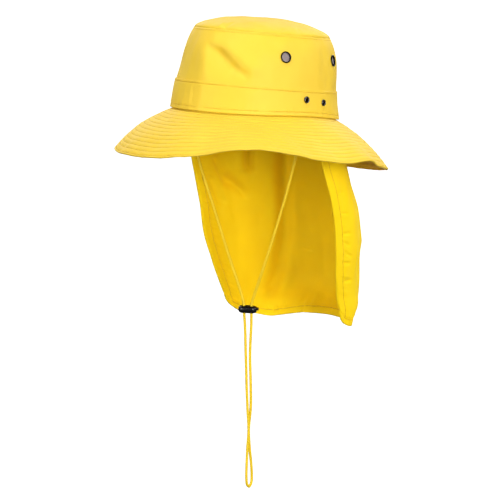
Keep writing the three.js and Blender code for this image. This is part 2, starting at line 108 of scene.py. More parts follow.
looking = add_node(room, "ShaderNodeTexCoord", {})
height_in_room = add_node(room, "ShaderNodeSeparateXYZ", {0: looking.outputs["Generated"]})
room_light = add_node(room, "ShaderNodeMapRange", {
    "Value": height_in_room.outputs["Z"],
    "From Min": -0.6,
    "From Max": 0.6,
    "To Min": 0.04,
    "To Max": 0.34,
}, interpolation_type="SMOOTHSTEP")
fill(room, room.nodes["Background"], {
    "Color": (1, 1, 1, 1), "Strength": room_light.outputs["Result"],
})
bpy.context.scene.world = world
# Lamp: degrees to the camera's right, degrees above the level, distance, size and power.
studio_lamps = [
    ("key_lamp", 25, 10, 2.2, 0.7, 37),
    ("top_lamp", -20, 76, 2.0, 1.0, 22),
    ("side_lamp", 78, 14, 2.2, 0.8, 15),
    ("fill_lamp", -54, 9, 2.2, 1.2, 25),
    ("right_back_lamp", 150, 30, 2.4, 1.6, 17),
    ("left_back_lamp", -155, 30, 2.4, 1.6, 17),
    ("low_back_lamp", 180, -28, 2.2, 1.6, 4),
]
for name, to_right, above_level, distance, size, power in studio_lamps:
    lamp_data = bpy.data.lights.new(name, "AREA")
    lamp_data.size = size
    lamp_data.energy = power
    towards_lamp = direction(azimuth + math.radians(to_right), math.radians(above_level))
    aimed(name, lamp_data, towards_lamp, distance)

floor_level = -2.4
floor_reach = 6
wall_top = 9.6
sweep_radius = 3
sweep_steps = 16
stage_sides = 64
profile = [(0, floor_level), (floor_reach, floor_level)]
for i in range(1, sweep_steps + 1):
    turn = math.pi / 2 * i / sweep_steps
    profile.append((
        floor_reach + sweep_radius * math.sin(turn),
        floor_level + sweep_radius * (1 - math.cos(turn)),
    ))
profile.append((floor_reach + sweep_radius, wall_top))


def spun(section, ends, steps):
    """A section turned all round the Z axis; ends are the corners that its edges lead to."""
    shape = bmesh.new()
    corners = [shape.verts.new((out, 0, height)) for out, height in section]
    edges = [shape.edges.new((corner, corners[end])) for corner, end in zip(corners, ends)]
    bmesh.ops.spin(
        shape, geom=corners + edges, cent=(0, 0, 0), axis=(0, 0, 1), dvec=(0, 0, 0),
        angle=2 * math.pi, steps=steps, use_merge=True,
    )
    return shape


def as_object(name, shape):
    """Puts a shape into the scene as a mesh object."""
    data = bpy.data.meshes.new(name)
    shape.to_mesh(data)
    shape.free()
    made = bpy.data.objects.new(name, data)
    bpy.context.scene.collection.objects.link(made)
    return made


stage_shape = spun(profile, range(1, len(profile)), stage_sides)
bmesh.ops.remove_doubles(stage_shape, verts=stage_shape.verts, dist=0.001)
floor = as_object("floor", stage_shape)
floor.data.shade_smooth()
# The stage shows, but gives the hat no light of its own: the room and the lamps do that.
floor.visible_diffuse = False
floor.visible_glossy = False
floor.visible_shadow = False


def linear(colour):
    """An sRGB hex colour as the linear values that a shader takes."""
    parts = [int(colour[i:i + 2], 16) / 255 for i in (1, 3, 5)]
    return [c / 12.92 if c <= 0.04045 else ((c + 0.055) / 1.055) ** 2.4 for c in parts] + [1]


def new_material(name):
    """An empty material, with its tree and its Principled shader."""
    made = bpy.data.materials.new(name)
    made.use_nodes = True
    return made, made.node_tree, made.node_tree.nodes["Principled BSDF"]


studio_paint, tree, shader = new_material("matt_white_studio_paint")
fill(tree, shader, {
    "Base Color": linear("#F0F0F0"),
    "Roughness": 0.9,
    "Emission Color": (1, 1, 1, 1),
    "Emission Strength": 0.95,
})
floor.data.materials.append(studio_paint)

# Chin cord: a round braid of yellow polyester, 3.2 mm thick and 0.89 m long. Its ends are sewn
# into the head seam at the two sides, and its middle hangs as a loop below the lock.
# The route goes from the left end down round the loop and up to the right end.
cord_route = [
    (0.0775, -0.0178, 0.007),
    (0.0771, -0.0174, -0.005),
    (0.0734, -0.0159, -0.021),
    (0.0667, -0.0145, -0.044),
    (0.0498, -0.0137, -0.096),
    (0.0298, -0.0141, -0.152),
    (0.0132, -0.0152, -0.196),
    (0.0084, -0.0154, -0.209),
    (0.00704, -0.01539, -0.215),
    (0.00704, -0.01539, -0.2225),
    (0.0068, -0.0153, -0.235),
    (0.0055, -0.0159, -0.27),
    (0.006, -0.0152, -0.307),
    (0.0056, -0.0147, -0.331),
    (0.0032, -0.0152, -0.357),
    (0.0036, -0.0142, -0.378),
    (0.0042, -0.0122, -0.397),
    (0.0044, -0.0113, -0.411),
    (0.0044, -0.0123, -0.4193),
    (0.0048, -0.0166, -0.4229),
    (0.0051, -0.0209, -0.4193),
    (0.005, -0.022, -0.411),
    (0.0046, -0.021, -0.397),
    (0.0044, -0.0194, -0.378),
    (0.0054, -0.0185, -0.357),
    (0.0038, -0.0184, -0.331),
    (0.0027, -0.0185, -0.307),
    (0.0018, -0.0189, -0.27),
    (0.0006, -0.019, -0.235),
    (-0.00064, -0.01881, -0.2225),
    (-0.00064, -0.01881, -0.215),
    (-0.0019, -0.0188, -0.209),
    (-0.0056, -0.0189, -0.198),
    (-0.0199, -0.0197, -0.1635),
    (-0.042, -0.0209, -0.107),
    (-0.0626, -0.022, -0.055),
    (-0.0736, -0.0198, -0.021),
    (-0.0771, -0.0176, -0.005),
    (-0.0775, -0.0178, 0.007),
]
cord_diameter = 0.0032
cord_sides = 16
braid_strands = 4
braid_pick = 0.0024
braid_relief = 0.05
ring_spacing = 0.00055
route_steps = 40


def through(points, steps):
    """Points along a smooth line through the given ones, the same number in each stretch."""
    points = [Vector(point) for point in points]
    row = [points[0] * 2 - points[1], *points, points[-1] * 2 - points[-2]]
    line = []
    for a, b, c, d in zip(row, row[1:], row[2:], row[3:]):
        ab, bc, cd = (math.sqrt((q - p).length) for p, q in ((a, b), (b, c), (c, d)))
        leaving = ((b - a) / ab - (c - a) / (ab + bc) + (c - b) / bc) * bc
        arriving = ((c - b) / bc - (d - b) / (bc + cd) + (d - c) / cd) * bc
        for i in range(steps):
            t = i / steps
            line.append(
                b * (2 * t ** 3 - 3 * t ** 2 + 1) + leaving * (t ** 3 - 2 * t ** 2 + t)
                + c * (3 * t ** 2 - 2 * t ** 3) + arriving * (t ** 3 - t ** 2)
            )
    return line + [points[-1]]


def spaced(line, step):
    """The same line with its points evenly spaced, and how long it is."""
    lengths = [0]
    for a, b in zip(line, line[1:]):
        lengths.append(lengths[-1] + (b - a).length)
    count = max(round(lengths[-1] / step), 1)
    even, k = [], 0
    for i in range(count + 1):
        at = lengths[-1] * i / count
        while k < len(line) - 2 and lengths[k + 1] < at:
            k += 1
        share = (at - lengths[k]) / (lengths[k + 1] - lengths[k])
        even.append(line[k].lerp(line[k + 1], share))
    return even, lengths[-1]


def grid_sheet(across, down):
    """A flat sheet of faces from 0 to 1 both ways, ready to be laid on a surface."""
    sheet = bmesh.new()
    sheet.loops.layers.uv.new("thread")
    bmesh.ops.create_grid(sheet, x_segments=across, y_segments=down, size=0.5)
    bmesh.ops.translate(sheet, verts=sheet.verts, vec=(0.5, 0.5, 0))
    return sheet


def lay(sheet, place, width, length):
    """Puts each point of the sheet in its place; the thread map keeps its flat size in metres."""
    thread = sheet.loops.layers.uv["thread"]
    for face in sheet.faces:
        for loop in face.loops:
            loop[thread].uv = (loop.vert.co.x * width, loop.vert.co.y * length)
    for vert in sheet.verts:
        vert.co = place(vert.co.x, vert.co.y)
    bmesh.ops.remove_doubles(sheet, verts=sheet.verts, dist=0.000004)


def finish_piece(name, shape, material):
    """Makes the shape a piece that rides on the hat."""
    piece = as_object(name, shape)
    piece.data.shade_smooth()
    piece.data.materials.append(material)
    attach(piece, "hat")
    return piece


cord_line, route_length = spaced(through(cord_route, route_steps), ring_spacing)
cord_frames = []
outward = Vector((0, -1, 0))
for i, point in enumerate(cord_line):
    along = (cord_line[min(i + 1, len(cord_line) - 1)] - cord_line[max(i - 1, 0)]).normalized()
    outward = (outward - along * outward.dot(along)).normalized()
    cord_frames.append((point, outward.copy(), along.cross(outward)))


def cord_place(share_round, share_along):
    """A point of the braid's surface: strands cross in both directions as small pads."""
    index = min(round(share_along * (len(cord_line) - 1)), len(cord_line) - 1)
    point, outward, sideways = cord_frames[index]
    turn = 2 * math.pi * share_round
    pick = 2 * math.pi * share_along * route_length / braid_pick
    pad = math.cos(braid_strands * turn + pick) * math.cos(braid_strands * turn - pick)
    radius = cord_diameter / 2 * (1 - braid_relief + braid_relief * pad)
    return point + (outward * math.cos(turn) + sideways * math.sin(turn)) * radius


def open_edges(shape):
    """The edges round a shape's openings."""
    return [edge for edge in shape.edges if edge.is_boundary]


def face_outwards(shape):
    """Makes all faces of a closed shape face out of it."""
    bmesh.ops.recalc_face_normals(shape, faces=shape.faces)


braid = grid_sheet(cord_sides, len(cord_line) - 1)
lay(braid, cord_place, math.pi * cord_diameter, route_length)
bmesh.ops.holes_fill(braid, edges=open_edges(braid), sides=0)
face_outwards(braid)

# Braided polyester: matt with a faint silky sheen, and painted shade in the gaps where one strand
# dives under another.
# The slanting bands of a wave texture are 0.4443 m apart at scale 1.
band_spacing = 0.4443
strand_pitch = 0.001556
braided_polyester, tree, shader = new_material("braided_yellow_polyester")
thread_map = add_node(tree, "ShaderNodeUVMap", {}, uv_map="thread")
strands = add_node(tree, "ShaderNodeTexWave", {
    "Vector": thread_map.outputs["UV"],
    "Scale": band_spacing / strand_pitch,
    "Distortion": 0.6,
    "Detail": 1.0,
}, bands_direction="DIAGONAL")
# Painted shade: the colour darkens from the strands' crests into the gaps between them.
tone = add_node(tree, "ShaderNodeMix", {
    "Factor": strands.outputs["Fac"], "A": linear("#DCAE10"), "B": linear("#FFE22C"),
}, data_type="RGBA")
strand_relief = add_node(tree, "ShaderNodeBump", {
    "Height": strands.outputs["Fac"], "Strength": 0.4, "Distance": 0.0002,
})
fill(tree, shader, {
    "Base Color": tone.outputs["Result"],
    "Normal": strand_relief.outputs["Normal"],
    "Roughness": 0.62,
    "Specular IOR Level": 0.3,
    "Sheen Weight": 0.04,
    "Sheen Roughness": 0.4,
})

cord_piece = finish_piece("chin_cord_braid", braid, braided_polyester)
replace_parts(cord_piece, "chin_cord")

# Cord lock: a fat oval ring moulded in black acetal, with a slot for the cord's two legs. A
# sprung plunger slides in it from the side and grips the legs; its end is the button.
lock_centre = Vector((0.0032, -0.0171, -0.2184))
lock_yaw = math.radians(24)
lock_length = 0.0214
lock_depth = 0.012
lock_height = 0.0082
lock_edge = 0.0034
slot_length = 0.0123
slot_width = 0.004
slot_edge = 0.0006
lock_segments = 64
lock_bevel_steps = 8
slot_bevel_steps = 3
tolerance = 0.000001


def stadium_loop(shape, length, width, height):
    """A closed outline with round ends, at a height."""
    made = bmesh.ops.create_circle(shape, cap_ends=False, segments=lock_segments, radius=width / 2)
    for vert in made["verts"]:
        side = 0 if abs(vert.co.x) < tolerance else math.copysign(1, vert.co.x)
        vert.co.x += side * (length - width) / 2
        vert.co.z = height


def move(shape, matrix):
    """Moves, turns or scales a whole shape."""
    bmesh.ops.transform(shape, verts=shape.verts, matrix=matrix)


def in_lock_place(shape):
    """Turns and moves a shape from the lock's own axes to where the lock hangs."""
    move(shape, Matrix.Translation(lock_centre) @ Matrix.Rotation(lock_yaw, 4, "Z"))


def moulded_ring():
    """The lock's body before its channel is cut: a tall oval with a rounded rim and a slot."""
    ring = bmesh.new()
    stadium_loop(ring, lock_length, lock_depth, -lock_height / 2)
    stadium_loop(ring, slot_length, slot_width, -lock_height / 2)
    bmesh.ops.bridge_loops(ring, edges=ring.edges)
    raised = bmesh.ops.extrude_face_region(ring, geom=list(ring.faces))
    lifted = [part for part in raised["geom"] if isinstance(part, bmesh.types.BMVert)]
    bmesh.ops.translate(ring, verts=lifted, vec=(0, 0, lock_height))
    face_outwards(ring)
    sharp = [edge for edge in ring.edges if edge.calc_face_angle(0) > 1]
    outer = [
        edge for edge in sharp
        if max(abs(v.co.y) for v in edge.verts) > slot_width / 2 + tolerance
        or max(abs(v.co.x) for v in edge.verts) > slot_length / 2 + tolerance
    ]
    inner = [edge for edge in sharp if edge not in outer]
    bevels = (outer, lock_edge, lock_bevel_steps), (inner, slot_edge, slot_bevel_steps)
    for rim, offset, steps in bevels:
        bmesh.ops.bevel(
            ring, geom=[edge for edge in rim if edge.is_valid], offset=offset, affect="EDGES",
            segments=steps, profile=0.5, material=-1,
        )
    return ring


plunger_rise = 0.0009
plunger_height = 0.0028
plunger_play = 0.0003
stem_depth = 0.0042
lock_body_shape = moulded_ring()
in_lock_place(lock_body_shape)

# Black acetal as it leaves a polished mould: a smooth dark gloss with the faintest waviness.
flow_size = 0.004
moulded_acetal, tree, shader = new_material("moulded_black_acetal")
place = add_node(tree, "ShaderNodeTexCoord", {})
flow = add_node(tree, "ShaderNodeTexNoise", {
    "Vector": place.outputs["Object"], "Scale": 1 / flow_size, "Detail": 3.0,
})
flow_relief = add_node(tree, "ShaderNodeBump", {
    "Height": flow.outputs["Fac"], "Strength": 0.12, "Distance": 0.0002,
})
polish = add_node(tree, "ShaderNodeMapRange", {
    "Value": flow.outputs["Fac"], "To Min": 0.16, "To Max": 0.3,
})
fill(tree, shader, {
    "Base Color": linear("#0C0C0E"),
    "Roughness": polish.outputs["Result"],
    "IOR": 1.48,
    "Normal": flow_relief.outputs["Normal"],
})

lock_piece = finish_piece("cord_lock_ring", lock_body_shape, moulded_acetal)
channel = bmesh.new()
channel_overlap = 0.001
channel_start = slot_length / 2 - channel_overlap
channel_end = lock_length
bmesh.ops.create_cube(channel, size=1)
move(channel, Matrix.Diagonal((
    channel_end - channel_start, stem_depth + 2 * plunger_play, plunger_height + 2 * plunger_play, 1,
)))
move(channel, Matrix.Translation(((channel_start + channel_end) / 2, 0, plunger_rise)))
in_lock_place(channel)


def cut_away(piece, cutters):
    """Takes the cutters' shapes out of a piece, and keeps the result as its mesh."""
    tools = [as_object("cutter", shape) for shape in cutters]
    for tool in tools:
        modifier = piece.modifiers.new("cut", "BOOLEAN")
        modifier.object = tool
        modifier.solver = "EXACT"
    bpy.context.view_layer.update()
    depsgraph = bpy.context.evaluated_depsgraph_get()
    cut = bpy.data.meshes.new_from_object(piece.evaluated_get(depsgraph))
    piece.modifiers.clear()
    piece.data = cut
    for tool in tools:
        bpy.data.objects.remove(tool)


cut_away(lock_piece, [channel])
lock_piece.data.set_sharp_from_angle(angle=math.radians(40))
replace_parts(lock_piece, "cord_lock_body")

button_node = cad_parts["cord_lock_button"]
button_node.data.materials.clear()
button_node.data.materials.append(moulded_acetal)

# Crown wall: one length of cotton twill, closed at the nape, that tapers to the tip seam and
# has soft dents from handling. Four vents are cut high in its sides.
head_half_width = 0.084
head_half_length = 0.101
mean_radius = (head_half_width + head_half_length) / 2
tilt_back = Matrix.Rotation(math.radians(-8.4), 4, "X")
crown_height = 0.09
crown_cloth = 0.0014
seam_gap = 0.0003
tip_seam_row = 0.002
crown_taper = [
    (0, 1.0),
    (0.03, 0.978),
    (0.052, 0.95),
    (0.068, 0.92),
    (0.081, 0.875),
    (0.09, 0.832),
]
# Dents: direction, height, lean from upright, half length, half width and depth. Directions are
# degrees round the hat from the wearer's left, by way of the nape.
crown_dents = [
    (40, 0, 0, 0.015, 0.036, -0.0018),
    (-80, 0.06, 48, 0.03, 0.012, 0.0026),
    (-90, 0.058, 4, 0.03, 0.014, -0.0026),
    (-118, 0.06, 0, 0.03, 0.022, 0.0014),
    (40, 0.064, 0, 0.02, 0.04, -0.0014),
    (40, 0.026, 0, 0.016, 0.04, 0.0012),
    (-146, 0.012, 0, 0.03, 0.044, -0.0022),
    (-46, 0.058, 0, 0.03, 0.022, -0.0012),
]


def read_table(table, place, column=1):
    """A smooth value between the rows of a table whose first column rises."""
    last = len(table) - 1
    row = 0
    while row < last - 1 and table[row + 1][0] < place:
        row += 1
    before, start, end, after = (
        table[max(row - 1, 0)], table[row], table[row + 1], table[min(row + 2, last)],
    )
    span = end[0] - start[0]
    share = min(max((place - start[0]) / span, 0), 1)
    leaving = span * (end[column] - before[column]) / (end[0] - before[0])
    arriving = span * (after[column] - start[column]) / (after[0] - start[0])
    rise = end[column] - start[column]
    square, cube = share ** 2, share ** 3
    return (start[column] + rise * (3 * square - 2 * cube)
            + leaving * (cube - 2 * square + share) + arriving * (cube - square))


def swell(distance, half_size):
    """A soft bump of height 1 that fades over its half size."""
    return math.exp(-(distance / half_size) ** 2)


def fade(distance, over):
    """How far cloth is free at a distance from a seam: 0 at the seam and 1 once it is over."""
    return min(distance / over, 1)


def turn_from(angle, degrees):
    """How far one direction round the hat is from another, the shorter way."""
    return math.remainder(angle - math.radians(degrees), 2 * math.pi)


seam_rise_height = 0.0042
seam_rise_middle = -6
seam_rise_half_width = math.radians(42)
seam_rise_up_crown = 0.017
seam_rise_out_brim = 0.034


def seam_rise(angle):
    """How far the head seam rides up at the left side of the worn hat."""
    return seam_rise_height * swell(turn_from(angle, seam_rise_middle), seam_rise_half_width)


def crown_point(angle, height, inset):
    """A point of the crown wall in the hat's own upright frame, inset from its outer face."""
    depth = 0
    for toward_degrees, at, lean, long, wide, deep in crown_dents:
        sideways = turn_from(angle, toward_degrees) * mean_radius
        upwards = height - at
        tilt = math.radians(lean)
        lengthways = upwards * math.cos(tilt) - sideways * math.sin(tilt)
        crossways = upwards * math.sin(tilt) + sideways * math.cos(tilt)
        depth += deep * swell(lengthways, long) * swell(crossways, wide)
    radius = mean_radius * read_table(crown_taper, max(height, 0)) - inset - depth
    return Vector((
        radius * head_half_width * math.cos(angle) / mean_radius,
        radius * head_half_length * math.sin(angle) / mean_radius,
        height + seam_rise(angle) * swell(height, seam_rise_up_crown),
    ))


def out_of_oval(angle):
    """The level direction that points out of the head's oval."""
    across, along = math.cos(angle) / head_half_width, math.sin(angle) / head_half_length
    return Vector((across, along, 0)).normalized()


def creases(point, size, depth):
    """Soft irregular waves in worn cotton, as a depth along its normal."""
    return depth * (
        noise.noise(point / size) + 0.5 * noise.noise(point / size * 2.3 + Vector((7, 3, 5)))
    )


def on_circle(angle, out=0):
    """A spot on a flat circle round the hat, so that what follows it closes at the nape."""
    return Vector((math.cos(angle), math.sin(angle), 0)) * (mean_radius + out)


def pucker(spot, from_seam, pitch, reach, depth):
    """Short folds that a tight row of stitches draws into the cloth on either side of it."""
    wave = noise.noise(spot / pitch) + 0.6 * noise.noise(spot / pitch * 2.1 + Vector((4, 1, 3)))
    return depth * wave * swell(from_seam, reach)


def groove(from_line, depth, half_width):
    """How deep the cloth is pulled in beside a row of stitches or a seam."""
    return depth * swell(from_line, half_width)


def folded(spot, folds):
    """How far soft folds lift the cloth at a spot: each has its line, half width and height."""
    lift = 0
    for line, half_width, rise in folds:
        nearest = min(
            (spot - start - (end - start) * min(max(
                (spot - start).dot(end - start) / (end - start).length_squared, 0), 1)).length
            for start, end in zip(line, line[1:])
        )
        lift += rise * swell(nearest, half_width)
    return lift


# Folds finer than the dents: points as degrees and height, then half width and rise.
crown_folds = [
    ([(-90, 0.07), (-84, 0.066), (-77, 0.06)], 0.0048, -0.0017),
    ([(-79, 0.064), (-72, 0.056), (-67, 0.05)], 0.007, -0.0028),
    ([(-66, 0.05), (-61, 0.046), (-57, 0.043)], 0.004, -0.0024),
    ([(-86, 0.077), (-72, 0.069), (-61, 0.06), (-52, 0.051)], 0.008, 0.0022),
    ([(-92, 0.07), (-89, 0.055), (-86, 0.034)], 0.0045, 0.0007),
    ([(8, 0.07), (12, 0.038)], 0.01, -0.0012),
    ([(-40, 0.078), (-30, 0.07)], 0.006, -0.0007),
    ([(60, 0.07), (78, 0.052), (86, 0.038)], 0.006, -0.0013),
    ([(120, 0.074), (112, 0.052)], 0.008, -0.0012),
    ([(170, 0.066), (184, 0.05)], 0.006, -0.0012),
]


def laid_flat(folds, place):
    """The same folds with their points as spots on the flat cloth, in metres."""
    return [
        ([Vector(place(*point)) for point in line], half_width, rise)
        for line, half_width, rise in folds
    ]


def on_crown_cloth(degrees, height):
    """A direction and a height as a spot on the crown's cloth."""
    return math.radians(degrees) * mean_radius, height


crown_folds = laid_flat(crown_folds, on_crown_cloth)


def unwrapped(angle):
    """The direction round the hat between -150 and 210 degrees, where no fold crosses the ends."""
    return math.radians((math.degrees(angle) + 150) % 360 - 150)


nape = math.pi / 2
crown_round = 2 * math.pi * mean_radius


def crown_surface(share_round, share_up):
    """The outer face of the crown wall, with its creases and the puckers at its tip seam."""
    angle = nape + 2 * math.pi * share_round
    height = crown_height * share_up
    point = crown_point(angle, height, 0)
    lift = creases(Vector((point.x, point.y, point.z * 0.7)), size=0.024, depth=0.0009)
    lift += folded(Vector((unwrapped(angle) * mean_radius, height)), crown_folds)
    lift *= fade(height, over=0.04) * fade(crown_height - height, over=0.01)
    from_seam = crown_height - height
    lift += pucker(on_circle(angle), from_seam, pitch=0.006, reach=0.006, depth=0.0004)
    lift -= groove(from_seam - tip_seam_row, depth=0.0002, half_width=0.0012)
    return point + out_of_oval(angle) * lift


def cloth_wall(surface, across, down, length, cloth):
    """Cloth all round the crown: its outer face on a surface, and its thickness inwards."""
    wall = grid_sheet(across, down)
    lay(wall, surface, crown_round, length)
    bmesh.ops.solidify(wall, geom=wall.faces, thickness=cloth)
    move(wall, tilt_back)
    return wall


crown_wall = cloth_wall(crown_surface, across=300, down=48, length=crown_height, cloth=crown_cloth)

rib_pitch = 0.001698
yarn_size = 0.0016
mottle_size = 0.03


# Cotton twill: dyed right through, with fine diagonal ribs. The hat's is pressed and has a faint
# gloss, the flap's is softer and duller. The ribs are drawn 1.7 mm apart, coarser than real ones,
# so that they still show at this scale.
def cotton_twill(name, light, deep, roughness, gloss):
    made, tree, shader = new_material(name)
    place = add_node(tree, "ShaderNodeTexCoord", {})
    thread_map = add_node(tree, "ShaderNodeUVMap", {}, uv_map="thread")
    ribs = add_node(tree, "ShaderNodeTexWave", {
        "Vector": thread_map.outputs["UV"],
        "Scale": band_spacing / rib_pitch,
        "Distortion": 0.8,
        "Detail": 2.0,
        "Detail Scale": 1.5,
    }, bands_direction="DIAGONAL")
    mottle = add_node(tree, "ShaderNodeTexNoise", {
        "Vector": place.outputs["Object"],
        "Scale": 1 / mottle_size,
        "Detail": 5.0,
        "Roughness": 0.6,
    })
    yarn = add_node(tree, "ShaderNodeTexNoise", {
        "Vector": thread_map.outputs["UV"], "Scale": 1 / yarn_size, "Detail": 2.0,
    })
    # Painted highlight: the ribs' crests are painted a little paler than their hollows; the mottle is
    # the cloth's own tone, varying at random.
    rib_highlight = add_node(tree, "ShaderNodeMath", {
        0: ribs.outputs["Fac"], 1: 0.25,
    }, operation="MULTIPLY")
    mottle_and_rib_highlight = add_node(tree, "ShaderNodeMath", {
        0: mottle.outputs["Fac"], 1: 0.9, 2: rib_highlight.outputs["Value"],
    }, operation="MULTIPLY_ADD")
    tone = add_node(tree, "ShaderNodeMix", {
        "Factor": mottle_and_rib_highlight.outputs["Value"], "A": linear(deep), "B": linear(light),
    }, data_type="RGBA")
    weave = add_node(tree, "ShaderNodeMath", {
        0: yarn.outputs["Fac"], 1: 0.4, 2: ribs.outputs["Fac"],
    }, operation="MULTIPLY_ADD")
    weave_relief = add_node(tree, "ShaderNodeBump", {
        "Height": weave.outputs["Value"], "Strength": 0.35, "Distance": 0.00015,
    })
    fill(tree, shader, {
        "Base Color": tone.outputs["Result"],
        "Normal": weave_relief.outputs["Normal"],
        "Roughness": roughness,
        "Specular IOR Level": gloss,
        "Sheen Weight": 0.06,
        "Sheen Roughness": 0.5,
        "Sheen Tint": linear("#FFF3C0"),
    })
    return made


hat_twill = cotton_twill("yellow_cotton_twill", "#E2C02A", "#DAB31E", 0.62, 0.5)
crown_piece = finish_piece("crown_wall_cloth", crown_wall, hat_twill)
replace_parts(crown_piece, "crown_side")

# Eyelets: large gunmetal ones set in the crown as vents and small smoky nickel ones through the
# band, each a stamped brass ring whose barrel is rolled over a washer inside.
vent_bore = 0.0101
vent_barrel = 0.0108
vent_flange = 0.013
vent_roll = 0.0008
small_bore = 0.0044
small_barrel = 0.0054
small_flange = 0.0076
small_roll = 0.0011
roll_steps = 8
plate = 0.00035
washer_depth = 0.00056
washer_bevel = 0.0002
eyelet_sides = 40
punch_sides = 32
punch_depth = 0.016
rub_size = 0.0015
band_cloth = 0.0012
band_face = seam_gap + band_cloth
vent_places = [("front", 28, 0.066), ("back", -24, 0.066)]
small_places = [("front", 10.5, 0.021), ("back", -6.5, 0.0185)]
hat_sides = [("left", 0, -1), ("right", 180, 1)]


def eyelet_matrix(middle, forwards, before, height, stand_off):
    """Where an eyelet sits: the matrix whose Z axis points out of the cloth."""
    angle = math.radians(middle + forwards * before)

    def near(turned, raised):
        return crown_point(angle + turned, height + raised, -stand_off)

    turn_step, up_step = 0.01, 0.001
    round_hat = near(turn_step, 0) - near(-turn_step, 0)
    out = round_hat.cross(near(0, up_step) - near(0, -up_step)).normalized()
    turn = out.to_track_quat("Z", "Y").to_matrix().to_4x4()
    return tilt_back @ Matrix.Translation(near(0, 0)) @ turn


def punch(matrix, barrel):
    """The round hole that is punched for an eyelet, as a cutter."""
    hole = bmesh.new()
    radius = barrel / 2 + seam_gap
    bmesh.ops.create_cone(
        hole, cap_ends=True, segments=punch_sides, radius1=radius, radius2=radius,
        depth=punch_depth,
    )
    move(hole, matrix)
    return hole


def both_sides(places, stand_off):
    """The names and matrices of one kind of eyelet on the hat's two sides."""
    return [
        (f"{side}_{end}", eyelet_matrix(middle, forwards, before, height, stand_off))
        for side, middle, forwards in hat_sides for end, before, height in places
    ]


vent_spots = both_sides(vent_places, 0)
small_spots = both_sides(small_places, band_face)
cut_away(crown_piece, [punch(spot, vent_barrel) for _, spot in vent_spots]
         + [punch(spot, small_barrel) for _, spot in small_spots])


def stamped_eyelet(matrix, bore, barrel, flange, cloth_depth, roll):
    """A ring spun from its section: rolled flange outside, barrel, and washer inside."""
    room = (flange / 2) ** 2 / (2 * head_half_width ** 2 / head_half_length) + washer_bevel
    washer = -(cloth_depth + seam_gap + room)
    middle = (bore + flange) / 4
    half = (flange - bore) / 4
    turns = [math.pi * i / roll_steps for i in range(roll_steps + 1)]
    section = [(middle - half * math.cos(turn), plate + roll * math.sin(turn)) for turn in turns]
    section += [
        (barrel / 2, plate),
        (barrel / 2, washer),
        (flange / 2, washer),
        (flange / 2, washer - plate),
        (flange / 2 - washer_bevel, washer - washer_depth),
        (bore / 2 + washer_bevel, washer - washer_depth),
        (bore / 2, washer - plate),
    ]
    ring = spun(section, [*range(1, len(section)), 0], eyelet_sides)
    face_outwards(ring)
    move(ring, matrix)
    return ring


# Plated brass, stamped and tumbled: dark gunmetal for the vents and a smoky nickel for the band,
# both with soft reflections and fine rub marks.
def plated_brass(name, colour, low, high):
    made, tree, shader = new_material(name)
    place = add_node(tree, "ShaderNodeTexCoord", {})
    rub = add_node(tree, "ShaderNodeTexNoise", {
        "Vector": place.outputs["Object"], "Scale": 1 / rub_size, "Detail": 4.0,
    })
    wear = add_node(tree, "ShaderNodeMapRange", {
        "Value": rub.outputs["Fac"], "To Min": low, "To Max": high,
    })
    fill(tree, shader, {
        "Base Color": linear(colour), "Metallic": 1.0, "Roughness": wear.outputs["Result"],
    })
    return made


gunmetal = plated_brass("gunmetal_plated_brass", "#2C2927", 0.08, 0.18)
nickel = plated_brass("nickel_plated_brass", "#5C5855", 0.06, 0.16)
for spot_name, spot in vent_spots:
    ring = stamped_eyelet(spot, vent_bore, vent_barrel, vent_flange, crown_cloth, vent_roll)
    vent_piece = finish_piece(f"vent_ring_{spot_name}", ring, gunmetal)
    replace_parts(vent_piece, f"vent_eyelet_{spot_name}")
for spot_name, spot in small_spots:
    ring = stamped_eyelet(
        spot, small_bore, small_barrel, small_flange, band_face + crown_cloth, small_roll,
    )
    small_piece = finish_piece(f"band_ring_{spot_name}", ring, nickel)
    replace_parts(small_piece, f"band_eyelet_{spot_name}")

# Vent screens: a fine net of grey nylon yarn, woven flat and clipped under each vent's ring.
# Each yarn weaves over and under the next.
screen_radius = 0.005
screen_depth = 0.0009
yarn_pitch = 0.00062
yarn_width = 0.0003
yarn_relief = 0.0001
yarn_thickness = 0.0001
steps_a_yarn = 2
yarn_glint_size = 0.0012

# Woven nylon: grey, matt and slightly fuzzy, with painted highlights where its yarns catch the light.
woven_nylon, tree, shader = new_material("woven_grey_nylon_net")
place = add_node(tree, "ShaderNodeTexCoord", {})
yarn_glints = add_node(tree, "ShaderNodeTexNoise", {
    "Vector": place.outputs["Object"], "Scale": 1 / yarn_glint_size, "Detail": 2.0,
})
tone = add_node(tree, "ShaderNodeMix", {
    "Factor": yarn_glints.outputs["Fac"], "A": linear("#8F8282"), "B": linear("#B9ABAC"),
}, data_type="RGBA")
fill(tree, shader, {"Base Color": tone.outputs["Result"], "Roughness": 0.6})


def woven_net(matrix):
    """Flat yarns both ways across a round hole, each a narrow strip that weaves up and down."""
    net = bmesh.new()
    count = int(screen_radius / yarn_pitch)
    for turn in (0, math.pi / 2):
        for k in range(-count, count + 1):
            offset = k * yarn_pitch
            half = math.sqrt(screen_radius ** 2 - offset ** 2)
            steps = max(int(2 * half / yarn_pitch * steps_a_yarn), steps_a_yarn)
            strip = bmesh.ops.create_grid(net, x_segments=steps, y_segments=1, size=1)["verts"]
            for vert in strip:
                across = vert.co.x * half
                phase = math.pi * (across / yarn_pitch + k) + (math.pi if turn else 0)
                vert.co = Vector((
                    across, offset + vert.co.y * yarn_width / 2,
                    yarn_relief * math.cos(phase) - screen_depth,
                ))
            bmesh.ops.rotate(net, verts=strip, cent=(0, 0, 0), matrix=Matrix.Rotation(turn, 3, "Z"))
    bmesh.ops.solidify(net, geom=net.faces, thickness=yarn_thickness)
    move(net, matrix)
    return net


for spot_name, spot in vent_spots:
    net_piece = finish_piece(f"vent_net_{spot_name}", woven_net(spot), woven_nylon)
    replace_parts(net_piece, f"vent_screen_{spot_name}")

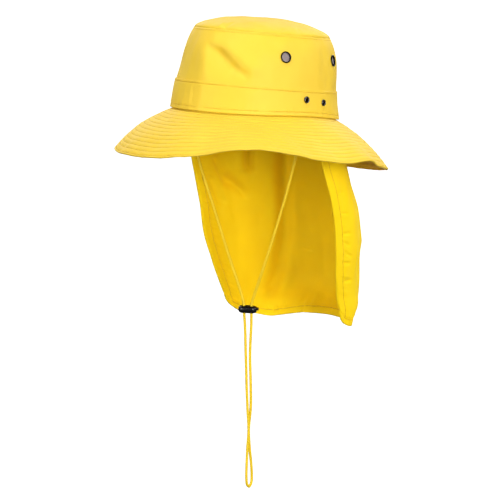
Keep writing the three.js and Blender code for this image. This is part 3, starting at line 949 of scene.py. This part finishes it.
# Crown tip: an oval of the same twill, a little fuller than flat, seamed all round to the wall
# and topstitched beside the seam.
tip_rise = 0.0168
tip_fullness = 0.6
tip_folds = [
    ([(-80, 0), (-79, 0.016)], 0.0032, -0.0017),
    ([(-86, 0.002), (-88, 0.012)], 0.0028, 0.0011),
    ([(-34, 0), (-29, 0.008)], 0.0026, -0.0014),
    ([(-16, 0), (-11, 0.01)], 0.0028, -0.0015),
    ([(24, 0), (27, 0.014)], 0.003, -0.0009),
    ([(102, 0), (98, 0.018)], 0.0035, -0.001),
    ([(150, 0), (153, 0.012)], 0.003, -0.0009),
    ([(201, 0), (198, 0.014)], 0.003, -0.0009),
]
tip_folds = laid_flat(tip_folds, on_crown_cloth)


def tip_surface(share_round, share_out):
    """The outer face of the tip, from its rim at 0 to its middle at 1."""
    angle = nape + 2 * math.pi * share_round
    out = 1 - share_out
    rim = crown_point(angle, crown_height, 0)
    dome = tip_rise * max(1 - out ** 2, 0) ** tip_fullness
    point = Vector((rim.x * out, rim.y * out, crown_height + dome))
    from_seam = share_out * mean_radius
    lift = creases(point, size=0.03, depth=0.0012) * fade(from_seam, over=0.012)
    lift += folded(Vector((unwrapped(angle) * mean_radius, from_seam)), tip_folds) * out ** 3
    short_folds = pucker(on_circle(angle), from_seam, pitch=0.007, reach=0.007, depth=0.0004)
    lift += short_folds * fade(from_seam, over=0.003)
    point.z += lift
    return point


tip = cloth_wall(tip_surface, across=300, down=40, length=mean_radius, cloth=crown_cloth)
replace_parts(finish_piece("crown_tip_cloth", tip, hat_twill), "crown_tip")

# Hat band: a folded strip of the same twill round the foot of the crown, with a row of stitches
# along each edge. It hides the seam of crown and brim.
band_height = 0.032
band_foot = -0.0001
band_foot_row = 0.0044
band_top_row = 0.002
band_top_groove = 0.0022
slack_middle = math.radians(-94)
slack_half_width = math.radians(22)
slack_height = 0.012


def band_surface(share_round, share_up):
    """The outer face of the band, pulled in a little along its two rows of stitches."""
    angle = nape + 2 * math.pi * share_round
    height = band_foot + (band_height - band_foot) * share_up
    point = crown_point(angle, height, -band_face)
    slack = swell(unwrapped(angle) - slack_middle, slack_half_width)
    lift = creases(point, size=0.016, depth=0.0003)
    lift += pucker(on_circle(angle), height - band_foot_row, 0.005, 0.007, 0.0004 + 0.0002 * slack)
    lift += pucker(on_circle(angle, 0.03), band_height - height, 0.006, 0.005, 0.0003)
    lift += pucker(on_circle(angle, 0.06), height - slack_height, 0.012, 0.014, 0.0006 * slack)
    lift -= groove(height - band_foot_row, depth=0.0004, half_width=0.0009)
    from_groove = band_height - height - band_top_groove
    lift -= groove(from_groove, depth=0.00035 + 0.0003 * slack, half_width=0.001)
    return point + out_of_oval(angle) * lift


band = cloth_wall(band_surface, across=360, down=30, length=band_height, cloth=band_cloth)
band_piece = finish_piece("hat_band_cloth", band, hat_twill)
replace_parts(band_piece, "hat_band")
cut_away(band_piece, [punch(spot, small_barrel) for _, spot in small_spots])

# Brim: two layers of twill over a soft interlining, stitched together in close rings and bound
# at the edge. It waves as it has been worn, up in front at the left and down at the sides.
brim_cloth = 0.0026
margin_cloth = 0.0012
margin_height = 0.009
brim_foot = -(seam_gap + brim_cloth)
# Direction, mean fall in degrees, how much steeper the edge is than the seam, and width.
brim_wave = [
    (-170, 37.6, 28, 0.0795),
    (-142, 39.3, 30, 0.0793),
    (-125, 41.8, 28, 0.0795),
    (-105, 42.8, 26, 0.078),
    (-89, 40.6, 22, 0.0775),
    (-73, 35.2, 16, 0.077),
    (-60, 26.5, 10, 0.077),
    (-48, 23.7, 8, 0.077),
    (-34, 26, 10, 0.077),
    (-17, 30.2, 14, 0.077),
    (-8, 31, 16, 0.077),
    (2, 28.6, 14, 0.077),
    (9, 28.5, 14, 0.077),
    (17, 32.5, 20, 0.077),
    (30, 35.9, 26, 0.078),
    (46, 38, 28, 0.0795),
    (75, 42.2, 27, 0.079),
    (108, 40, 26, 0.078),
    (140, 35, 24, 0.078),
    (166, 35.2, 26, 0.078),
]
brim_round = [
    (brim_wave[-1][0] - 360, *brim_wave[-1][1:]),
    *brim_wave,
    (brim_wave[0][0] + 360, *brim_wave[0][1:]),
    (brim_wave[1][0] + 360, *brim_wave[1][1:]),
]
brim_width = 0.078
stitch_rings = 13
edge_ring = 0.0027
ring_pitch = 0.0058
stitch_pull = 0.0006
ripple = 0.0003
ripple_size = 0.006
# Folds of the whole brim: points as degrees and distance from the head seam.
brim_folds = [
    ([(-73, 0.018), (-83, 0.074)], 0.013, 0.0016),
    ([(-100, 0.03), (-106, 0.07)], 0.014, -0.001),
    ([(-10.5, 0.01), (-14, 0.028)], 0.0018, -0.0005),
    ([(-30, 0.02), (-26, 0.064)], 0.016, -0.001),
    ([(150, 0.02), (158, 0.064)], 0.016, 0.0012),
]


def on_brim_cloth(degrees, out):
    """A direction and a distance out as a spot on the brim's cloth."""
    return math.radians(degrees) * (mean_radius + out), out


brim_folds = laid_flat(brim_folds, on_brim_cloth)
brim_seams = [-86.5, 93.5]


@functools.lru_cache(maxsize=None)
def brim_section(angle):
    """What the brim's section needs to be drawn in one direction."""
    degrees = (math.degrees(angle) + 180) % 360 - 180
    fall, bend, width = (read_table(brim_round, degrees, column) for column in (1, 2, 3))
    seam = crown_point(angle, 0, crown_cloth + seam_gap + margin_cloth)
    return seam, out_of_oval(angle), math.radians(fall - bend / 2), math.radians(bend), width


def brim_point(angle, out, above):
    """A point of the brim, a distance out along the cloth and above its lower face."""
    seam, outwards, seam_fall, bend, width = brim_section(angle)
    fall = seam_fall + bend * out / width
    radius = width / bend
    level = radius * (math.sin(fall) - math.sin(seam_fall)) + above * math.sin(fall)
    down = radius * (math.cos(seam_fall) - math.cos(fall)) - above * math.cos(fall)
    point = seam + outwards * level
    point.z = brim_foot - down + seam_rise(angle) * swell(out, seam_rise_out_brim)
    return point


def ring_pull(from_edge):
    """How deep the rings of stitches pull the cloth in, at a distance from the edge."""
    ring = max(0, min(round((from_edge - edge_ring) / ring_pitch), stitch_rings - 1))
    return groove(from_edge - edge_ring - ring * ring_pitch, stitch_pull, half_width=0.0008)


def brim_creases(angle, out):
    """Soft waves of the whole brim, its two seams and the ripples that its stitches draw in."""
    spot = on_circle(angle, out)
    around = unwrapped(angle)
    lift = creases(spot, size=0.03, depth=0.001) + ripple * noise.noise(spot / ripple_size)
    lift += folded(Vector((around * (mean_radius + out), out)), brim_folds)
    for degrees in brim_seams:
        from_seam = (around - math.radians(degrees)) * (mean_radius + out)
        lift -= groove(from_seam, depth=0.0004, half_width=0.0016)
    return lift * fade(out, over=0.012)


# The section's rows, each with its side and place: over the margin, out along the upper face,
# round the edge and back below. Each ring of stitches has six rows of its own.
edge_round = brim_cloth / 2
face_places = [edge_round] + [
    edge_ring + ring * ring_pitch + offset
    for ring in range(stitch_rings) for offset in (-0.0009, 0, 0.0009, 0.0019, 0.0029, 0.0039)
] + [brim_width]
margin_steps = 4
edge_steps = 6
margin_places = [margin_height * k / margin_steps for k in range(1, margin_steps + 1)]
brim_rows = [("margin outside", place) for place in reversed(margin_places)]
brim_rows += [("above", place) for place in reversed(face_places)]
brim_rows += [("edge", math.pi / 2 - math.pi * k / edge_steps) for k in range(1, edge_steps)]
brim_rows += [("below", place) for place in face_places]
brim_rows += [("margin inside", place) for place in margin_places]


def margin_point(angle, height, above):
    """A point of the brim's margin, which stands inside the foot of the crown."""
    inset = crown_cloth + seam_gap + margin_cloth - above
    point = crown_point(angle, height, inset)
    point.z += brim_foot if height == 0 else seam_gap * (height / margin_height - 1)
    return point


def brim_surface(share_round, share_section):
    """A point of the brim's section."""
    angle = nape + 2 * math.pi * share_round
    side, place = brim_rows[round(share_section * (len(brim_rows) - 1))]
    width = brim_section(angle)[4]
    if side == "margin outside":
        return margin_point(angle, place, margin_cloth)
    if side == "margin inside":
        return margin_point(angle, place, 0)
    if side == "edge":
        out = width - edge_round * (1 - math.cos(place))
        above = edge_round * (1 + math.sin(place))
        return brim_point(angle, out, above + brim_creases(angle, width - edge_round))
    out = width * (1 - place / brim_width)
    pull = ring_pull(place) * fade(out, over=0.004)
    above = brim_cloth - pull if side == "above" else pull
    return brim_point(angle, out, above + brim_creases(angle, out))


brim_middle_round = 0.8
brim_rows_length = 0.17
brim = grid_sheet(across=420, down=len(brim_rows) - 1)
lay(brim, brim_surface, brim_middle_round, brim_rows_length)
bmesh.ops.bridge_loops(brim, edges=open_edges(brim))
face_outwards(brim)
move(brim, tilt_back)
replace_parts(finish_piece("brim_cloth", brim, hat_twill), "brim")

# Stitches: two-ply polyester thread, a stitch every 3 mm. Each row is one thread that dips into
# the cloth between its stitches, and is sewn along a line on its piece.
stitch_length = 0.003
stitch_width = 0.0009
stitch_sides = 4
rings_a_stitch = 4
stitch_dip = 0.15
stitch_waist = 0.6
ply_size = 0.0008


# Polyester thread: silky, with painted shade where it goes down into its needle holes. It is drawn
# thicker than real thread, 0.9 mm, so that the stitches still show at this scale.
def polyester_thread(name, light, deep, hole):
    made, tree, shader = new_material(name)
    place = add_node(tree, "ShaderNodeTexCoord", {})
    thread_map = add_node(tree, "ShaderNodeUVMap", {}, uv_map="thread")
    along_thread = add_node(tree, "ShaderNodeSeparateXYZ", {0: thread_map.outputs["UV"]})
    turn = add_node(tree, "ShaderNodeMath", {
        0: along_thread.outputs["Y"], 1: 2 * math.pi / stitch_length,
    }, operation="MULTIPLY")
    wave = add_node(tree, "ShaderNodeMath", {0: turn.outputs["Value"]}, operation="COSINE")
    risen = add_node(tree, "ShaderNodeMath", {
        0: wave.outputs["Value"], 1: -0.5, 2: 0.5,
    }, operation="MULTIPLY_ADD")
    ply = add_node(tree, "ShaderNodeTexNoise", {
        "Vector": place.outputs["Object"], "Scale": 1 / ply_size, "Detail": 2.0,
    })
    thread_tone = add_node(tree, "ShaderNodeMix", {
        "Factor": ply.outputs["Fac"], "A": linear(deep), "B": linear(light),
    }, data_type="RGBA")
    # Painted shade: the colour turns to the dark hole colour where the thread dips into the cloth.
    stitch_tone_with_hole_shade = add_node(tree, "ShaderNodeMix", {
        "Factor": risen.outputs["Value"], "A": linear(hole), "B": thread_tone.outputs["Result"],
    }, data_type="RGBA")
    fill(tree, shader, {
        "Base Color": stitch_tone_with_hole_shade.outputs["Result"],
        "Roughness": 0.55,
        "Specular IOR Level": 0.3,
    })
    return made


hat_thread = polyester_thread("yellow_polyester_thread", "#F4CE3C", "#E2B824", "#AC8616")
flap_thread = polyester_thread("golden_polyester_thread", "#F4C414", "#E2AE0A", "#BC8C08")


def sew(line, outs):
    """One row of stitches: a thread that dips into the cloth between them, closed at its ends."""
    stitches = round(sum((b - a).length for a, b in zip(line, line[1:])) / stitch_length)
    rings = rings_a_stitch * stitches

    def thread_surface(share_round, share_along):
        turn = 2 * math.pi * share_round
        at = share_along * (len(line) - 1)
        k = min(int(at), len(line) - 2)
        along = (line[k + 1] - line[k]).normalized()
        out = outs[k].lerp(outs[k + 1], at - k)
        across = out.cross(along).normalized()
        bead = math.sin(math.pi * stitches * share_along) ** 2
        spot = line[k].lerp(line[k + 1], at - k) + out * (bead - 1) * stitch_width * stitch_dip
        radius = stitch_width / 2 * (stitch_waist + (1 - stitch_waist) * bead)
        return spot + (across * math.cos(turn) + out * math.sin(turn)) * radius

    row = grid_sheet(stitch_sides, rings)
    lay(row, thread_surface, stitch_width, stitches * stitch_length)
    bmesh.ops.holes_fill(row, edges=open_edges(row), sides=0)
    return row


def sew_piece(name, rows, thread, turned=tilt_back):
    """Joins rows of stitches as one piece."""
    joined = bmesh.new()
    for row in rows:
        data = bpy.data.meshes.new("row")
        row.to_mesh(data)
        row.free()
        joined.from_mesh(data)
        bpy.data.meshes.remove(data)
    move(joined, turned)
    return finish_piece(name, joined, thread)


round_steps = 360
round_angles = [nape + 2 * math.pi * i / round_steps for i in range(round_steps + 1)]
for side, name in ((1, "brim_stitches_above"), (0, "brim_stitches_below")):
    rows = []
    for ring in range(stitch_rings):
        line, outs = [], []
        for angle in round_angles:
            _, outwards, seam_fall, bend, width = brim_section(angle)
            out = width * (1 - (edge_ring + ring * ring_pitch) / brim_width)
            lift = stitch_pull - stitch_width / 4
            line.append(brim_point(
                angle, out, (brim_cloth - lift if side else lift) + brim_creases(angle, out),
            ))
            fall = seam_fall + bend * out / width
            normal = outwards * math.sin(fall) + Vector((0, 0, math.cos(fall)))
            outs.append(normal if side else -normal)
        rows.append(sew(line, outs))
    sew_piece(name, rows, hat_thread)


def wall_row(height, stand_off):
    """A row of stitches round the crown or band at a height."""
    line = [crown_point(angle, height, -stand_off) for angle in round_angles]
    return sew(line, [out_of_oval(angle) for angle in round_angles])


foot_row_sink = 0.0002
top_row_sink = 0.00015
tip_row_sink = 0.0001
sew_piece("band_stitches", [
    wall_row(band_foot_row, band_face - foot_row_sink),
    wall_row(band_height - band_top_row, band_face - top_row_sink),
], hat_thread)
tip_row = wall_row(crown_height - tip_seam_row, -tip_row_sink)
sew_piece("tip_seam_stitches", [tip_row], hat_thread)

# Neck flap: one piece of golden twill that hangs from the head seam round the back, hemmed down
# its front edges and along the foot. It bellies out behind and falls in soft folds.
flap_cloth = 0.0012
# Height, half width, where the front edges are and how far the cloth bellies out behind them.
flap_sections = [
    (-0.252, 0.078, 0.0575, 0.0495),
    (-0.238, 0.0805, 0.053, 0.061),
    (-0.224, 0.083, 0.049, 0.082),
    (-0.205, 0.0845, 0.041, 0.098),
    (-0.18, 0.089, 0.033, 0.103),
    (-0.15, 0.094, 0.0265, 0.105),
    (-0.115, 0.0958, 0.0205, 0.102),
    (-0.08, 0.0955, 0.011, 0.097),
    (-0.05, 0.0925, 0.002, 0.1),
    (-0.02, 0.0845, 0, 0.099),
    (0, 0.079, 0, 0.095),
]
flap_squareness = 0.85
flap_seam_hold = 6
flap_hem = [(-1, -0.243), (-0.45, -0.2525), (0, -0.2452), (1, -0.243)]
flap_corner = 0.2
flap_corner_rise = 0.014
# Across the flap at its top, lean on the way down, half width and depth.
flap_folds = [
    (-0.18, -0.3, 0.1, -0.004),
    (-0.5, -0.1, 0.14, 0.003),
    (0.12, -0.05, 0.14, 0.003),
    (0.5, 0.05, 0.12, -0.003),
    (0.8, 0, 0.1, 0.002),
]
flap_width = 0.3
flap_length = 0.255
flap_margin_share = 0.03
hem_width = 0.0085
hem_folds = hem_width + 0.002
hem_cloth = 0.0022


def flap_angle(across):
    """The direction round the hat of a place across the flap."""
    return math.radians(90 - 90 * across)


def flap_point(across, down):
    """The middle of the flap's cloth: across from -1 at the wearer's right to 1 at the left."""
    angle = flap_angle(across)
    inset = crown_cloth + seam_gap + margin_cloth + seam_gap + flap_cloth / 2
    if down < 0:
        return tilt_back @ crown_point(angle, -down * margin_height, inset)
    seam = tilt_back @ crown_point(angle, 0, inset)
    corner = max(abs(across) - 1 + flap_corner, 0) / flap_corner
    rise = flap_corner_rise * (1 - math.sqrt(max(1 - corner ** 2, 0)))
    hem = read_table(flap_hem, across) + rise
    sideways = math.copysign(abs(math.cos(angle)) ** flap_squareness, across)
    backwards = abs(math.sin(angle)) ** flap_squareness

    def section(height):
        half, front, depth = (read_table(flap_sections, height, column) for column in (1, 2, 3))
        return Vector((half * sideways, front + depth * backwards, height))

    point = section(seam.z + (hem - seam.z) * down)
    point += (seam - section(seam.z)) * (1 - down) ** flap_seam_hold
    fold = 0
    for place, lean, wide, depth in flap_folds:
        fold += depth * swell(across - place - lean * down, wide) * math.sqrt(down)
    return point + out_of_oval(angle) * fold


# Folds finer than the big ones: points as places across and down, then half width and rise.
flap_creases = [
    ([(-0.22, 0.22), (-0.29, 0.45), (-0.35, 0.65), (-0.49, 0.88)], 0.0095, 0.0112),
    ([(-0.49, 0.15), (-0.505, 0.29)], 0.006, 0.007),
    ([(-0.55, 0.15), (-0.58, 0.29)], 0.006, -0.0026),
    ([(-0.77, 0.26), (-0.72, 0.37)], 0.008, 0.0068),
    ([(-0.86, 0.36), (-0.82, 0.46)], 0.0065, 0.0044),
    ([(-0.68, 0.35), (-0.61, 0.41)], 0.007, 0.0058),
    ([(-0.8, 0.44), (-0.78, 0.54)], 0.008, -0.0022),
    ([(-0.2, 0.69), (-0.11, 0.7)], 0.0014, 0.0009),
    ([(0.925, 0.455), (0.88, 0.45)], 0.0016, -0.0016),
    ([(0.93, 0.55), (0.88, 0.545)], 0.0016, -0.0018),
    ([(0.93, 0.595), (0.89, 0.6)], 0.0015, -0.0014),
    ([(0.925, 0.64), (0.87, 0.655)], 0.0016, -0.0018),
    ([(0.93, 0.69), (0.89, 0.69)], 0.0015, -0.0014),
    ([(0.925, 0.78), (0.87, 0.775)], 0.0018, -0.0016),
    ([(0.925, 0.36), (0.89, 0.35)], 0.0018, -0.0012),
    ([(-0.1, 1), (-0.12, 0.94)], 0.003, 0.0018),
    ([(-0.02, 1), (-0.04, 0.92)], 0.0028, -0.0014),
    ([(0.2, 0.3), (0.28, 0.55)], 0.009, -0.0022),
    ([(0.42, 0.25), (0.46, 0.6)], 0.01, 0.0022),
    ([(0.66, 0.55), (0.7, 0.85)], 0.01, -0.0018),
]


def on_flap_cloth(across, down):
    """A place across and down as a spot on the flap's cloth."""
    return across * flap_width / 2, down * flap_length


flap_creases = laid_flat(flap_creases, on_flap_cloth)


def flap_surface(share_across, share_down):
    """The flap's outer face, with its creases and the puckers beside its hems."""
    across = 1 - 2 * share_across
    down = (1 + flap_margin_share) * share_down - flap_margin_share
    point = flap_point(across, down if down > 0 else down / flap_margin_share)
    spot = Vector(on_flap_cloth(across, down))
    from_side = (1 - abs(across)) * flap_width / 2
    from_foot = (1 - down) * flap_length
    lift = creases(Vector((point.x, point.y, point.z * 0.35)), size=0.026, depth=0.0014)
    lift += folded(spot, flap_creases)
    down_spot = Vector((0, math.copysign(1, across), spot.y))
    along_foot = Vector((spot.x, 0, 0))
    lift += pucker(down_spot, from_side - hem_folds, pitch=0.006, reach=0.006, depth=0.0008)
    lift += pucker(along_foot, from_foot - hem_folds, pitch=0.006, reach=0.007, depth=0.0012)
    for from_edge in (from_side, from_foot):
        lift -= groove(from_edge - hem_width, depth=0.0005, half_width=0.0014)
    lift *= fade(max(down, 0), over=0.15)
    return point + out_of_oval(flap_angle(across)) * (lift + flap_cloth / 2)


flap = grid_sheet(across=190, down=210)
move(flap, Matrix.Translation((0, 1, 0)) @ Matrix.Scale(-1, 4, (0, 1, 0)))
hem_share = flap.verts.layers.deform.verify()
for vert in flap.verts:
    from_side = min(vert.co.x, 1 - vert.co.x) * flap_width
    from_edge = min(from_side, (1 - vert.co.y) * flap_length)
    vert[hem_share][0] = 1 if from_edge < hem_width else flap_cloth / hem_cloth
lay(flap, flap_surface, flap_width, flap_length)
face_outwards(flap)
# Painted light: the flap's twill is brighter than the hat's, a stand-in for light shining through its
# thin single layer.
flap_twill_painted_bright = cotton_twill("golden_cotton_twill_painted_bright", "#FEDA10", "#F7CA04", 0.75, 0.15)
flap_piece = finish_piece("neck_flap_cloth", flap, flap_twill_painted_bright)
flap_piece.vertex_groups.new(name="hem")
wall = flap_piece.modifiers.new("cloth", "SOLIDIFY")
wall.thickness = hem_cloth
wall.vertex_group = "hem"
wall.offset = -1
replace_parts(flap_piece, "neck_flap")

share_step = 0.002
row_stand_off = 0.0001


def flap_row(places, inside):
    """A row of stitches on the flap's outer or inner face, through places across and down it."""
    line, outs = [], []
    for share_across, share_down in places:
        spot = flap_surface(share_across, share_down)
        sideways = flap_surface(share_across + share_step, share_down) - spot
        downwards = flap_surface(share_across, share_down + share_step) - spot
        out = sideways.cross(downwards).normalized()
        if out.dot(out_of_oval(math.radians(180 * share_across))) < 0:
            out = -out
        line.append(spot + out * (-hem_cloth - row_stand_off if inside else row_stand_off))
        outs.append(-out if inside else out)
    return sew(line, outs)


row_from_edge = hem_width - 0.001
side_row = row_from_edge / flap_width
foot_row = 1 - row_from_edge / flap_length
row_start = 0.04
row_steps = 150
down_row = [row_start + (foot_row - row_start) * i / row_steps for i in range(row_steps + 1)]
hem_path = [(side_row, down) for down in down_row]
hem_path += [(side_row + (1 - 2 * side_row) * i / row_steps, foot_row) for i in range(1, row_steps)]
hem_path += [(1 - side_row, down) for down in reversed(down_row)]
hem_stitches = sew_piece("flap_hem_stitches", [
    flap_row(hem_path, False), flap_row(hem_path, True),
], flap_thread, Matrix.Identity(4))
